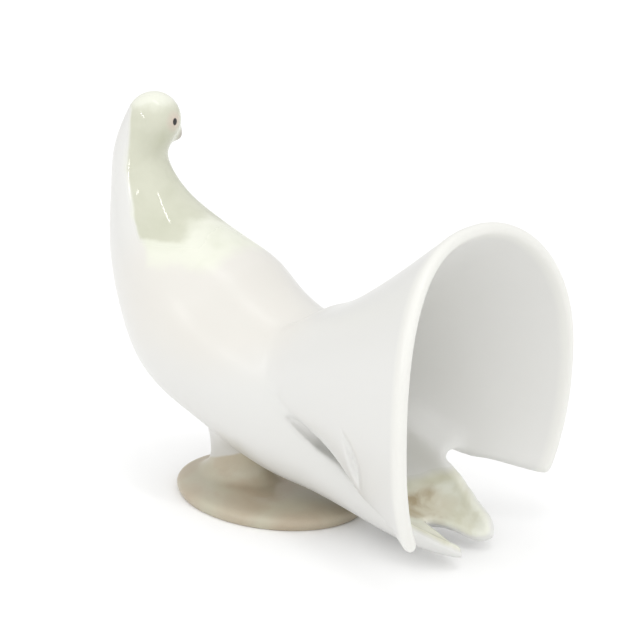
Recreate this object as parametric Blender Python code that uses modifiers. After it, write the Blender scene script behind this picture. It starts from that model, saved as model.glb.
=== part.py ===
"""Dove with a raised fan tail, cast in one piece of porcelain with its foot.

The bird faces -Y, its left side is +X and the table is at Z = 0.
The free form is given in hundredths of the figure's height, and the walls,
the foot and the stem are given in metres.
"""

import math

import bmesh
import bpy
import numpy as np

# Sizes in metres
FIGURE_HEIGHT = 0.140
FAN_WALL = 0.0043
BASE_LENGTH = 0.0765
BASE_WIDTH = 0.0588
BASE_THICKNESS = 0.0052
STEM_LENGTH = 0.0268
STEM_WIDTH = 0.0176

# The skin over the joined forms: its grain in metres, rounds of smoothing and triangles
SKIN_STEP = 0.0008
SKIN_ROUNDS = 18
SOLID_TRIANGLES = 9600

# Hundredths of the figure's height
FORM_HEIGHT = 101.4
TABLE = -1.2
SHARE = FIGURE_HEIGHT / FORM_HEIGHT

# The trunk from its open end to the head: centre, half width, half depth
TRUNK = [
    (0.0, 68.0, 4.4, 6.4, 4.4),
    (0.0, 65.2, 5.0, 8.6, 5.1),
    (0.0, 60.5, 6.2, 11.2, 6.5),
    (0.0, 56.0, 7.6, 13.0, 7.8),
    (0.0, 50.0, 9.9, 14.3, 9.7),
    (0.0, 44.0, 12.3, 14.4, 11.3),
    (0.0, 36.0, 15.0, 13.6, 13.1),
    (0.0, 22.5, 22.4, 15.7, 18.9),
    (0.0, 4.9, 30.4, 19.6, 21.8),
    (0.0, -6.9, 35.8, 21.3, 21.5),
    (0.0, -18.9, 43.2, 22.3, 22.6),
    (0.0, -29.5, 52.9, 18.9, 19.1),
    (0.0, -38.0, 64.0, 13.7, 14.0),
    (0.0, -43.0, 76.3, 8.7, 8.7),
    (-0.5, -44.0, 84.2, 7.1, 7.1),
    (-2.0, -40.5, 92.6, 7.0, 7.2),
]
TRUNK_END = 3.0
HEAD_DOME = 7.4
BEAK_REACH = 7.9
BEAK_DROP = 5.7
BEAK_TURN = 107.0

# The fan: place from the top of the rim, root, way out of the root, way into the rim
FAN = [
    (0.00, (0.0, 17.6, 52.2), (0.0, 34.0, 3.5), (0.0, 37.0, 31.0)),
    (0.25, (7.6, 13.2, 49.1), (2.0, 36.0, 2.0), (13.0, 38.0, 19.0)),
    (0.50, (13.0, 10.5, 43.0), (3.0, 40.0, -5.0), (22.0, 42.0, 5.0)),
    (0.75, (15.0, 13.5, 36.0), (0.0, 44.0, -18.0), (26.0, 42.0, 2.0)),
    (1.00, (14.6, 19.0, 31.6), (-4.0, 45.0, -30.0), (30.0, 38.0, 2.0)),
]
RIM_HALF_WIDTH = 35.3
RIM_MIDDLE = 41.5
RIM_UP = 37.8
RIM_DOWN = 44.4
RIM_TOP = 59.6
RIM_SIDE = 66.0
RIM_SQUARE = 2.25
RIM_CORNER = 127.0

# How far the fan's inner floor sinks towards the hollow of the tail
FLOOR_SAG = 9.0

# The free lower edge of wing and fan, from the flank to the corner
LOWER_EDGE = [
    (14.4, 19.0, 31.6),
    (15.2, 24.5, 29.8),
    (15.6, 28.7, 27.9),
    (16.2, 34.2, 24.8),
    (17.2, 39.6, 20.9),
    (18.3, 44.0, 17.7),
    (21.3, 50.8, 16.5),
    (25.8, 59.6, 14.6),
]


def spline(rows, at=None, count=None, keys=None):
    """Read a natural cubic spline through rows of numbers."""
    rows = np.asarray(rows, float)
    if keys is None:
        gaps = np.linalg.norm(np.diff(rows[:, :3], axis=0), axis=1)
        keys = np.concatenate([[0.0], np.cumsum(gaps)])
    keys = np.asarray(keys, float)
    if at is None:
        at = np.linspace(keys[0], keys[-1], count)
    at = np.atleast_1d(np.asarray(at, float))
    last = len(rows) - 1
    gap = np.diff(keys)
    system = np.eye(last + 1)
    right = np.zeros_like(rows)
    for i in range(1, last):
        system[i, i - 1] = gap[i - 1]
        system[i, i] = 2.0 * (gap[i - 1] + gap[i])
        system[i, i + 1] = gap[i]
        rise = (rows[i + 1] - rows[i]) / gap[i]
        fall = (rows[i] - rows[i - 1]) / gap[i - 1]
        right[i] = 6.0 * (rise - fall)
    bend = np.linalg.solve(system, right)
    k = np.clip(np.searchsorted(keys, at, side="right") - 1, 0, last - 1)
    before = ((keys[k + 1] - at) / gap[k])[:, None]
    after = ((at - keys[k]) / gap[k])[:, None]
    curve = (before ** 3 - before) * bend[k] + (after ** 3 - after) * bend[k + 1]
    return before * rows[k] + after * rows[k + 1] + curve * (gap[k] ** 2)[:, None] / 6.0


def place_object(name, data, group):
    """Put an object in the collection of this name."""
    made = bpy.data.objects.new(name, data)
    kept = bpy.data.collections.get(group)
    if kept is None:
        kept = bpy.data.collections.new(group)
        bpy.context.scene.collection.children.link(kept)
    kept.objects.link(made)
    made.hide_render = group == "cutters"
    made.display_type = "WIRE" if group == "cutters" else "TEXTURED"
    return made


def add_mesh(name, points, faces):
    """Make an object from points in hundredths of the height."""
    placed = (np.asarray(points, float) - (0.0, 0.0, TABLE)) * SHARE
    data = bpy.data.meshes.new(name)
    data.from_pydata([tuple(p) for p in placed], [], faces)
    data.validate()
    shape = bmesh.new()
    shape.from_mesh(data)
    bmesh.ops.recalc_face_normals(shape, faces=shape.faces)
    shape.to_mesh(data)
    shape.free()
    return place_object(name, data, "cutters")


def grid_faces(rows, columns, start=0, ring=False):
    """Number the faces of a grid of points."""
    faces = []
    for i in range(rows - 1):
        for j in range(columns if ring else columns - 1):
            k = (j + 1) % columns
            low = start + i * columns
            faces.append((low + j, low + k, low + columns + k, low + columns + j))
    return faces


def tube(name, rings):
    """Skin rings of points and close both ends."""
    rings = np.asarray(rings, float)
    count, around = rings.shape[:2]
    points = list(rings.reshape(-1, 3)) + [rings[0].mean(axis=0), rings[-1].mean(axis=0)]
    faces = grid_faces(count, around, ring=True)
    first = count * around
    top = (count - 1) * around
    for j in range(around):
        k = (j + 1) % around
        faces.append((first, k, j))
        faces.append((first + 1, top + j, top + k))
    return add_mesh(name, points, faces)


def loft(name, rows, around=56, count=70, start_dome=0.0, end_dome=0.0, dome_steps=10):
    """Skin ellipses standing across a line through the rows."""
    rows = spline(rows, count=count)
    centre = rows[:, :3]
    ahead = np.gradient(centre, axis=0)
    ahead /= np.linalg.norm(ahead, axis=1)[:, None]
    side = np.array([1.0, 0.0, 0.0]) - ahead * ahead[:, :1]
    side /= np.linalg.norm(side, axis=1)[:, None]
    deep = np.cross(ahead, side)
    turn = np.linspace(0.0, 2.0 * math.pi, around, endpoint=False)

    def ring(i, grow, shift):
        wide = np.outer(np.cos(turn), side[i]) * rows[i, 3] * grow
        high = np.outer(np.sin(turn), deep[i]) * rows[i, 4] * grow
        return centre[i] + ahead[i] * shift + wide + high

    rings = []
    if start_dome:
        for step in range(dome_steps - 1, 0, -1):
            lean = 0.5 * math.pi * step / dome_steps
            rings.append(ring(0, math.cos(lean), -start_dome * math.sin(lean)))
    rings += [ring(i, 1.0, 0.0) for i in range(count)]
    if end_dome:
        for step in range(1, dome_steps):
            lean = 0.5 * math.pi * step / dome_steps
            rings.append(ring(count - 1, math.cos(lean), end_dome * math.sin(lean)))
    return tube(name, rings)


def signed_power(value, power):
    return np.sign(value) * np.abs(value) ** power


def rim_at(place):
    """Points of the fan's rim, from its top at 0 to its lower corner at 1."""
    turn = math.radians(RIM_CORNER) * np.abs(place)
    across = signed_power(np.sin(turn), 2.0 / RIM_SQUARE)
    upward = signed_power(np.cos(turn), 2.0 / RIM_SQUARE)
    high = RIM_MIDDLE + np.where(upward > 0.0, RIM_UP, RIM_DOWN) * upward
    back = RIM_TOP + (RIM_SIDE - RIM_TOP) * across ** 2
    back = np.where(upward > 0.0, back, RIM_SIDE - 3.2 * upward * upward)
    return np.stack([RIM_HALF_WIDTH * across, back, high], axis=-1)


def edge_at(along):
    """Points of the free lower edge, from the flank at 0 to the corner at 1."""
    rows = np.vstack([LOWER_EDGE, rim_at(np.array([1.0]))])
    back = rows[:, 1]
    keys = (back - back[0]) / (back[-1] - back[0])
    return spline(rows, at=along, keys=keys)


def fan_at(place, along):
    """Points of the fan's middle surface: place around it, along from root to rim."""
    place, along = np.broadcast_arrays(np.asarray(place, float), np.asarray(along, float))
    shape = place.shape
    around = np.abs(place).ravel()
    t = along.ravel()[:, None]
    keys = [row[0] for row in FAN]
    both = [-key for key in keys[:0:-1]] + keys

    def through(column):
        rows = np.array([row[column] for row in FAN])
        mirrored = rows[:0:-1] * (-1.0, 1.0, 1.0)
        return spline(np.vstack([mirrored, rows]), at=around, keys=both)

    root, leave, arrive, rim = through(1), through(2), through(3), rim_at(around)
    points = (2 * t ** 3 - 3 * t * t + 1) * root + (t ** 3 - 2 * t * t + t) * leave
    points += (3 * t * t - 2 * t ** 3) * rim + (t ** 3 - t * t) * arrive
    # Draw the lowest part onto the free edge
    lowest = np.array(FAN[-1][1:], float)
    end = (2 * t ** 3 - 3 * t * t + 1) * lowest[0] + (t ** 3 - 2 * t * t + t) * lowest[1]
    end += (3 * t * t - 2 * t ** 3) * rim_at(np.array([1.0])) + (t ** 3 - t * t) * lowest[2]
    near = np.clip((around - 0.45) / 0.55, 0.0, 1.0)[:, None]
    near = near * near * (3.0 - 2.0 * near)
    points += near * (edge_at(t.ravel()) - end)
    points[:, 0] *= np.where(place.ravel() < 0.0, -1.0, 1.0)
    return points.reshape(shape + (3,))


def fan_outward(place, along, step=0.002):
    """Directions out of the fan's outer face."""
    place = np.asarray(place, float)
    along = np.asarray(along, float)
    around = fan_at(place + step, along) - fan_at(place - step, along)
    rising = fan_at(place, np.minimum(along + step, 1.0)) - fan_at(place, np.maximum(along - step, 0.0))
    out = np.cross(rising, around)
    out /= np.maximum(np.linalg.norm(out, axis=-1, keepdims=True), 1e-9)
    from_middle = fan_at(place, along) - (0.0, 40.0, 34.0)
    return out * np.sign((out * from_middle).sum(axis=-1, keepdims=True))


def sheet(name, grid, wall):
    """Give a grid of points a wall thickness in metres."""
    rows, columns = grid.shape[:2]
    made = add_mesh(name, grid.reshape(-1, 3), grid_faces(rows, columns))
    thick = made.modifiers.new("wall", "SOLIDIFY")
    thick.thickness = wall
    thick.offset = 0.0
    thick.use_even_offset = True
    return bake(made)


def bake(made):
    """Turn an object's modifiers into its mesh."""
    depsgraph = bpy.context.evaluated_depsgraph_get()
    data = bpy.data.meshes.new_from_object(made.evaluated_get(depsgraph))
    made.modifiers.clear()
    made.data = data
    return made


def cut(made, tool):
    """Take a tool's volume away and drop the tool."""
    change = made.modifiers.new("cut", "BOOLEAN")
    change.operation = "DIFFERENCE"
    change.object = tool
    change.solver = "EXACT"
    bake(made)
    bpy.data.objects.remove(tool)


def solid_between(name, top, bottom):
    """Close the space between two grids of the same size."""
    rows, columns = top.shape[:2]
    count = rows * columns
    points = np.vstack([top.reshape(-1, 3), bottom.reshape(-1, 3)])
    faces = grid_faces(rows, columns) + grid_faces(rows, columns, start=count)
    border = [j for j in range(columns)]
    border += [i * columns + columns - 1 for i in range(1, rows)]
    border += [(rows - 1) * columns + j for j in range(columns - 2, -1, -1)]
    border += [i * columns for i in range(rows - 2, 0, -1)]
    for a, b in zip(border, border[1:] + border[:1]):
        faces.append((a, b, count + b, count + a))
    return add_mesh(name, points, faces)


def prism(name, outline, low, high):
    """Push an outline seen from above through a height."""
    count = len(outline)
    points = [(a, b, v) for v in (low, high) for a, b in outline]
    faces = [tuple(range(count))[::-1], tuple(range(count, 2 * count))]
    for i in range(count):
        j = (i + 1) % count
        faces.append((i, j, count + j, count + i))
    return add_mesh(name, points, faces)


def lip():
    """Round the fan's free edges."""
    along = np.linspace(0.06, 1.0, 60)
    side = edge_at(along)
    rim = rim_at(np.linspace(1.0, 0.0, 90))[1:]
    half = np.vstack([side, rim])
    line = np.vstack([half, (half * (-1.0, 1.0, 1.0))[-2::-1]])
    data = bpy.data.curves.new("lip", "CURVE")
    data.dimensions = "3D"
    data.bevel_depth = 0.5 * FAN_WALL
    data.bevel_resolution = 4
    data.use_fill_caps = True
    path = data.splines.new("POLY")
    path.points.add(len(line) - 1)
    for point, place in zip(path.points, line):
        x, y, z = (place - (0.0, 0.0, TABLE)) * SHARE
        point.co = (x, y, z, 1.0)
    made = place_object("lip", data, "cutters")
    depsgraph = bpy.context.evaluated_depsgraph_get()
    mesh = bpy.data.meshes.new_from_object(made.evaluated_get(depsgraph))
    bpy.data.objects.remove(made)
    return place_object("lip", mesh, "cutters")


def fan():
    """The fan's wall."""
    place = np.linspace(-1.0, 1.0, 97)[None, :]
    along = np.linspace(0.0, 1.0, 49)[:, None]
    return sheet("fan", fan_at(place, along), FAN_WALL)


def fold(side):
    """The hollow behind the wing tip: sharp in front, fading to the rear."""
    down = np.linspace(0.0, 1.0, 25)[:, None]
    rear = np.linspace(0.0, 1.0, 15)[None, :]
    place = 0.74 + 0.215 * down + 0.0 * rear
    swell = np.sin(math.pi * (0.04 + 0.94 * down)) ** 0.7
    along = 0.545 + 0.045 * down + rear * 0.18 * swell * (1.0 - 0.35 * down)
    out = fan_outward(place, along)
    skin = fan_at(place, along) + out * (0.5 * FAN_WALL / SHARE)
    depth = 1.9 * swell * (1.0 - rear) ** 1.5 - 0.35
    made_top = skin + out * 1.2
    made_bottom = skin - out * depth[..., None]
    flip = (side, 1.0, 1.0)
    return solid_between("fold", made_top * flip, made_bottom * flip)


def flanks():
    """Fills the space between the trunk and the wings."""
    place = np.linspace(-1.0, 1.0, 61)
    rings = []
    for along in np.linspace(0.0, 0.60, 17):
        skin_line = fan_at(place, np.full_like(place, along))
        floor = np.linspace(skin_line[-1], skin_line[0], 21)[1:-1]
        rings.append(np.vstack([skin_line, floor]))
    return tube("flanks", rings)


def slot(side):
    """The dark gap under the wing's lower edge."""
    rows = [
        (16.2, 18.5, 30.0, 0.5, 0.5),
        (15.0, 23.0, 27.2, 1.5, 1.5),
        (13.6, 28.0, 24.7, 2.4, 2.4),
        (13.5, 33.5, 21.8, 2.4, 2.4),
        (14.5, 38.0, 18.4, 1.9, 1.9),
        (15.9, 41.6, 16.1, 0.9, 0.9),
    ]
    rows = [(side * x, y, z, a, b) for x, y, z, a, b in rows]
    return loft("slot", rows, around=20, count=30)


def funnel():
    """The hollow inside the fan."""
    place = np.linspace(-0.95, 0.95, 81)

    def ring(along):
        where = np.full_like(place, along)
        skin = fan_at(place, where) - fan_outward(place, where) * (0.5 * FAN_WALL / SHARE - 0.15)
        across = np.linspace(0.0, 1.0, 21)[1:-1, None]
        floor = skin[-1] + (skin[0] - skin[-1]) * across
        sag = FLOOR_SAG * np.clip((0.8 - along) / 0.35, 0.0, 1.0)
        floor[:, 2:] -= sag * np.sin(math.pi * across) ** 1.5
        return np.vstack([skin, floor])

    first = ring(0.30)
    middle = first.mean(axis=0)
    deep = middle + (0.0, -9.0, -1.5)
    rings = []
    for k in np.linspace(0.06, 1.0, 8):
        rings.append(middle * k + deep * (1.0 - k) + (first - middle) * math.sin(0.5 * math.pi * k))
    for along in np.linspace(0.30, 1.0, 24)[1:]:
        rings.append(ring(along))
    rings.append(rings[-1] + (0.0, 6.0, 0.0))
    return tube("funnel", rings)


def dish():
    """The hollow between the two points of the tail."""
    rows = [
        (0.0, 29.0, 24.6, 8.5, 8.6),
        (0.0, 36.0, 19.2, 10.6, 11.8),
        (0.0, 44.0, 15.2, 11.6, 9.2),
        (0.0, 50.0, 12.4, 12.0, 7.2),
        (0.0, 56.0, 10.0, 10.7, 5.8),
        (0.0, 60.5, 8.4, 9.0, 5.5),
        (0.0, 65.2, 7.2, 6.6, 4.9),
        (0.0, 70.0, 6.2, 5.0, 4.4),
    ]
    return loft("dish", rows, start_dome=6.0, count=40)


def crest():
    """Everything above the gunwales of the tail's lower end."""
    rows = [
        (45.8, 13.0, 18.6),
        (46.4, 12.6, 17.6),
        (47.4, 12.0, 16.2),
        (49.0, 11.0, 14.4),
        (50.8, 10.1, 12.5),
        (52.8, 9.0, 10.5),
        (55.5, 8.0, 8.2),
        (57.8, 7.1, 7.1),
        (60.0, 6.2, 6.2),
        (62.0, 5.1, 5.1),
        (64.2, 2.8, 2.8),
        (66.5, -5.0, -5.0),
        (75.0, -5.0, -5.0),
    ]
    rings = []
    for y, inner, outer in rows:
        slope = outer - inner
        half = [(10.8, inner), (14.6, outer), (40.0, outer + 6.5 * slope), (40.0, 90.0)]
        line = half + [(-x, z) for x, z in half[::-1]]
        rings.append([(x, y, z) for x, z in line])
    return tube("crest", rings)


def arch():
    """Thins the floor from below on both sides of the notch."""
    rows = [
        (0.0, 44.0, -2.0, 1.6, 1.4),
        (0.0, 50.0, -0.8, 5.6, 4.4),
        (0.0, 56.0, -1.2, 6.4, 4.1),
        (0.0, 62.0, -1.5, 6.8, 3.3),
        (0.0, 70.0, -1.8, 7.4, 3.0),
    ]
    return loft("arch", rows, around=32, count=24)


def notch():
    """The gap between the tail's two points."""
    right = [
        (0.0, 48.8), (1.3, 49.8), (2.1, 53.1), (2.8, 56.0), (3.4, 58.5), (4.2, 60.8),
        (5.4, 62.9), (7.0, 64.9), (9.0, 66.8), (9.0, 75.0),
    ]
    outline = right + [(-x, y) for x, y in right[:0:-1]]
    return prism("notch", outline, -10.0, 30.0)


def oval_tube(name, rows, middle, around=72):
    """Skin level ovals: half width, half length, shift along, height."""
    turn = np.linspace(0.0, 2.0 * math.pi, around, endpoint=False)
    rings = []
    for wide, long, shift, high in rows:
        flat = np.full_like(turn, high)
        along = middle + shift + long * np.sin(turn)
        rings.append(np.stack([wide * np.cos(turn), along, flat], axis=-1))
    return tube(name, rings)


def base():
    """The oval foot, rounded at its edge."""
    wide = 0.5 * BASE_WIDTH / SHARE
    long = 0.5 * BASE_LENGTH / SHARE
    high = BASE_THICKNESS / SHARE
    profile = [
        (0.95, -0.6), (0.965, 0.05), (0.99, 0.2), (1.0, 0.42),
        (0.985, 0.64), (0.95, 0.8), (0.86, 0.9), (0.5, 1.0),
    ]
    rows = [(wide * grow, long * grow, 0.0, TABLE + high * rise) for grow, rise in profile]
    return oval_tube("base", rows, 0.0)


def stem():
    """The stem, flared into the foot and into the belly."""
    wide = 0.5 * STEM_WIDTH / SHARE
    long = 0.5 * STEM_LENGTH / SHARE
    foot = TABLE + BASE_THICKNESS / SHARE
    rows = [
        (wide * 1.9, long * 1.6, 0.0, foot - 1.2),
        (wide * 1.35, long * 1.25, 0.0, foot + 0.4),
        (wide * 1.1, long * 1.07, 0.0, foot + 2.0),
        (wide, long, 0.0, foot + 4.5),
        (wide * 1.03, long * 1.02, 0.0, foot + 8.5),
        (wide * 1.3, long * 1.15, 0.5, 17.0),
        (wide * 1.8, long * 1.5, 2.0, 24.0),
    ]
    return oval_tube("stem", rows, -9.8)


def beak():
    """Face and beak, turned to the bird's right."""
    head = np.array(TRUNK[-1][:3])
    turn = math.radians(BEAK_TURN)
    facing = np.array([-math.sin(turn), -math.cos(turn), 0.0])
    tip = head + facing * BEAK_REACH + (0.0, 0.0, -BEAK_DROP)
    way = tip - head
    length = np.linalg.norm(way)
    way /= length
    side = np.cross(way, (0.0, 0.0, 1.0))
    side /= np.linalg.norm(side)
    upward = np.cross(side, way)
    around = np.linspace(0.0, 2.0 * math.pi, 32, endpoint=False)
    rings = []
    profile = [(0.0, 6.6), (0.3, 6.1), (0.55, 4.8), (0.75, 3.0), (0.9, 1.8), (0.97, 1.2), (1.0, 0.6)]
    for reach, size in profile:
        ring = head + way * length * reach
        ring = ring + np.outer(np.cos(around), side) * size * 0.9 + np.outer(np.sin(around), upward) * size
        rings.append(ring)
    return tube("beak", rings)


def join(name, parts):
    """Put the parts' meshes into one object."""
    shape = bmesh.new()
    for part in parts:
        shape.from_mesh(part.data)
    data = bpy.data.meshes.new(name)
    shape.to_mesh(data)
    shape.free()
    for part in parts:
        bpy.data.objects.remove(part)
    return place_object(name, data, "cutters")


def skin(made, step, rounds):
    """Run one skin over all the parts and soften their joints."""
    cover = made.modifiers.new("skin", "REMESH")
    cover.mode = "VOXEL"
    cover.voxel_size = step
    if rounds:
        soften = made.modifiers.new("soften", "SMOOTH")
        soften.factor = 0.5
        soften.iterations = rounds
    return bake(made)


def thin(made, triangles):
    """Bring a skin down to a number of triangles."""
    now = sum(len(face.vertices) - 2 for face in made.data.polygons)
    fewer = made.modifiers.new("fewer", "DECIMATE")
    fewer.ratio = min(1.0, triangles / now)
    return bake(made)


def stand_flat(made):
    """Cut the underside off level with the table."""
    shape = bmesh.new()
    shape.from_mesh(made.data)
    everything = shape.verts[:] + shape.edges[:] + shape.faces[:]
    down = (0.0, 0.0, -1.0)
    sliced = bmesh.ops.bisect_plane(
        shape, geom=everything, dist=1e-7, plane_co=(0.0, 0.0, 0.0), plane_no=down, clear_outer=True
    )
    rim = [item for item in sliced["geom_cut"] if isinstance(item, bmesh.types.BMEdge)]
    bmesh.ops.holes_fill(shape, edges=rim, sides=0)
    bmesh.ops.recalc_face_normals(shape, faces=shape.faces)
    shape.to_mesh(made.data)
    shape.free()
    return made


def dove(name, step, rounds, triangles):
    """The whole figure as one skin."""
    body = loft("trunk", TRUNK, start_dome=TRUNK_END, end_dome=HEAD_DOME)
    body = skin(join("body", [body, flanks()]), step, 0)
    hollow = skin(join("hollow", [funnel(), dish()]), step, 1)
    for tool in (crest(), arch(), notch(), hollow):
        cut(body, tool)
    made = skin(join("whole", [body, fan(), lip(), beak(), base(), stem()]), step, 0)
    for side in (1.0, -1.0):
        cut(made, slot(side))
        cut(made, fold(side))
    made = stand_flat(thin(skin(made, step, rounds), triangles))
    data = made.data
    bpy.data.objects.remove(made)
    return place_object(name, data, "dove statue")


def porcelain():
    """White glazed porcelain."""
    look = bpy.data.materials.new("glazed_porcelain")
    look.use_nodes = True
    shader = look.node_tree.nodes["Principled BSDF"]
    shader.inputs["Base Color"].default_value = (0.84, 0.85, 0.82, 1.0)
    shader.inputs["Metallic"].default_value = 0.0
    shader.inputs["Roughness"].default_value = 0.12
    return look


for old in list(bpy.data.objects):
    bpy.data.objects.remove(old)

figure = dove("dove_figurine", SKIN_STEP, SKIN_ROUNDS, SOLID_TRIANGLES)
figure.data.materials.clear()
figure.data.materials.append(porcelain())
figure.data.shade_smooth()
figure.data.set_sharp_from_angle(angle=math.radians(40.0))
print("triangles", sum(len(face.vertices) - 2 for face in figure.data.polygons))
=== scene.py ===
# %% [markdown]
# # A porcelain dove on an oval foot
#
# The real figurine is one slip-cast piece of glazed porcelain: a dove with its
# head turned back, a tail raised into an open fan, and a short stem on a foot.
# The solid model of it is loaded first and sets the place, the pose and the
# size. Everything after this only makes its surface finer and glazes it.

import math

import bmesh
import bpy
import numpy as np
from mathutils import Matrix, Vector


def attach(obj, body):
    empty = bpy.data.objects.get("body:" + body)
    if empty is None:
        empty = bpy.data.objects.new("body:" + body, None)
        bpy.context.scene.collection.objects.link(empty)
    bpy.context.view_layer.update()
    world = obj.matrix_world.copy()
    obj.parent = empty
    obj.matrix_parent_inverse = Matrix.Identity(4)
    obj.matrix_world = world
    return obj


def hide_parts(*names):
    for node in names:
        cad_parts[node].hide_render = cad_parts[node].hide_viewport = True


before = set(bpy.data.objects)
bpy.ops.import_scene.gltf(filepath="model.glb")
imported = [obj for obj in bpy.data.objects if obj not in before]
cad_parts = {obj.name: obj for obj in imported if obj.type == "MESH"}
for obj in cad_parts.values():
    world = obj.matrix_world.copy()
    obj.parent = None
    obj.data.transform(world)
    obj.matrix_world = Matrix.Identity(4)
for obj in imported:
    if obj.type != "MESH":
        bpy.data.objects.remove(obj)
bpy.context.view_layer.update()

# %% [markdown]
# The figure's height sets the scale. The free form is in hundredths of it, as a
# modeller reads proportions off a drawing. Walls, stem and foot are in metres,
# because clay has a thickness of its own.

# %% Sizes
FIGURE_HEIGHT = 0.140
FAN_WALL = 0.0043
BASE_LENGTH = 0.0765
BASE_WIDTH = 0.0588
BASE_THICKNESS = 0.0052
STEM_LENGTH = 0.0268
STEM_WIDTH = 0.0176
FORM_HEIGHT = 101.4
TABLE = -1.2
SHARE = FIGURE_HEIGHT / FORM_HEIGHT
# Grain of the clay skin in metres, rounds of sponging, and the triangles kept
CLAY_GRAIN = 0.00055
SPONGE_ROUNDS = 30
KEPT_TRIANGLES = 190000
print("one hundredth of the height is", round(SHARE * 1000, 3), "mm")

# %% [markdown]
# A bird has no straight lines. Each line of it is a natural cubic spline
# through a few points: the smoothest curve that still meets them all. Blender
# has curve objects for this, but a small function also carries widths along.

# %% A smooth line through a few points
def spline(rows, at=None, count=None, keys=None):
    """Read a natural cubic spline through rows of numbers."""
    rows = np.asarray(rows, float)
    if keys is None:
        gaps = np.linalg.norm(np.diff(rows[:, :3], axis=0), axis=1)
        keys = np.concatenate([[0.0], np.cumsum(gaps)])
    keys = np.asarray(keys, float)
    if at is None:
        at = np.linspace(keys[0], keys[-1], count)
    at = np.atleast_1d(np.asarray(at, float))
    last = len(rows) - 1
    gap = np.diff(keys)
    system = np.eye(last + 1)
    right = np.zeros_like(rows)
    for i in range(1, last):
        system[i, i - 1:i + 2] = gap[i - 1], 2.0 * (gap[i - 1] + gap[i]), gap[i]
        right[i] = 6.0 * ((rows[i + 1] - rows[i]) / gap[i] - (rows[i] - rows[i - 1]) / gap[i - 1])
    bend = np.linalg.solve(system, right)
    k = np.clip(np.searchsorted(keys, at, side="right") - 1, 0, last - 1)
    before = ((keys[k + 1] - at) / gap[k])[:, None]
    after = ((at - keys[k]) / gap[k])[:, None]
    curve = (before ** 3 - before) * bend[k] + (after ** 3 - after) * bend[k + 1]
    return before * rows[k] + after * rows[k + 1] + curve * (gap[k] ** 2)[:, None] / 6.0


def ease(value, low, high):
    """Rise smoothly from 0 at low to 1 at high."""
    share = np.clip((value - low) / (high - low), 0.0, 1.0)
    return share * share * (3.0 - 2.0 * share)

# %% [markdown]
# Three small helpers turn points into meshes: one numbers the faces of a grid,
# one makes the object, and one skins a row of rings and closes both ends.

# %% From points to meshes
def place_object(name, data, group):
    """Put an object in the collection of this name."""
    made = bpy.data.objects.new(name, data)
    kept = bpy.data.collections.get(group)
    if kept is None:
        kept = bpy.data.collections.new(group)
        bpy.context.scene.collection.children.link(kept)
    kept.objects.link(made)
    made.hide_render = group == "cutters"
    return made


def add_mesh(name, points, faces):
    """Make an object from points in hundredths of the height."""
    placed = (np.asarray(points, float) - (0.0, 0.0, TABLE)) * SHARE
    data = bpy.data.meshes.new(name)
    data.from_pydata([tuple(p) for p in placed], [], faces)
    data.validate()
    shape = bmesh.new()
    shape.from_mesh(data)
    bmesh.ops.recalc_face_normals(shape, faces=shape.faces)
    shape.to_mesh(data)
    shape.free()
    return place_object(name, data, "cutters")


def grid_faces(rows, columns, start=0, ring=False):
    """Number the faces of a grid of points."""
    faces = []
    for i in range(rows - 1):
        for j in range(columns if ring else columns - 1):
            k = (j + 1) % columns
            low = start + i * columns
            faces.append((low + j, low + k, low + columns + k, low + columns + j))
    return faces


def tube(name, rings):
    """Skin rings of points and close both ends."""
    rings = np.asarray(rings, float)
    count, around = rings.shape[:2]
    points = list(rings.reshape(-1, 3)) + [rings[0].mean(axis=0), rings[-1].mean(axis=0)]
    faces = grid_faces(count, around, ring=True)
    first = count * around
    top = (count - 1) * around
    for j in range(around):
        k = (j + 1) % around
        faces.append((first, k, j))
        faces.append((first + 1, top + j, top + k))
    return add_mesh(name, points, faces)

# %% [markdown]
# Breast, belly, neck and head are one long swelling tube. A loft of ellipses
# along a bent line gives it: each row below holds a centre, a half width and a
# half depth, read from the tail's open end up to the head.

# %% The trunk from tail to head
TRUNK = [
    (0.0, 68.0, 4.4, 6.4, 4.4),
    (0.0, 65.2, 5.0, 8.6, 5.1),
    (0.0, 60.5, 6.2, 11.2, 6.5),
    (0.0, 56.0, 7.6, 13.0, 7.8),
    (0.0, 50.0, 9.9, 14.3, 9.7),
    (0.0, 44.0, 12.3, 14.4, 11.3),
    (0.0, 36.0, 15.0, 13.6, 13.1),
    (0.0, 22.5, 22.4, 15.7, 18.9),
    (0.0, 4.9, 30.4, 19.6, 21.8),
    (0.0, -6.9, 35.8, 21.3, 21.5),
    (0.0, -18.9, 43.2, 22.3, 22.6),
    (0.0, -29.5, 52.9, 18.9, 19.1),
    (0.0, -38.0, 64.0, 13.7, 14.0),
    (0.0, -43.0, 76.3, 8.7, 8.7),
    (-0.5, -44.0, 84.2, 7.1, 7.1),
    (-2.0, -40.5, 92.6, 7.0, 7.2),
]
TRUNK_END = 3.0
HEAD_DOME = 7.4

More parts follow.
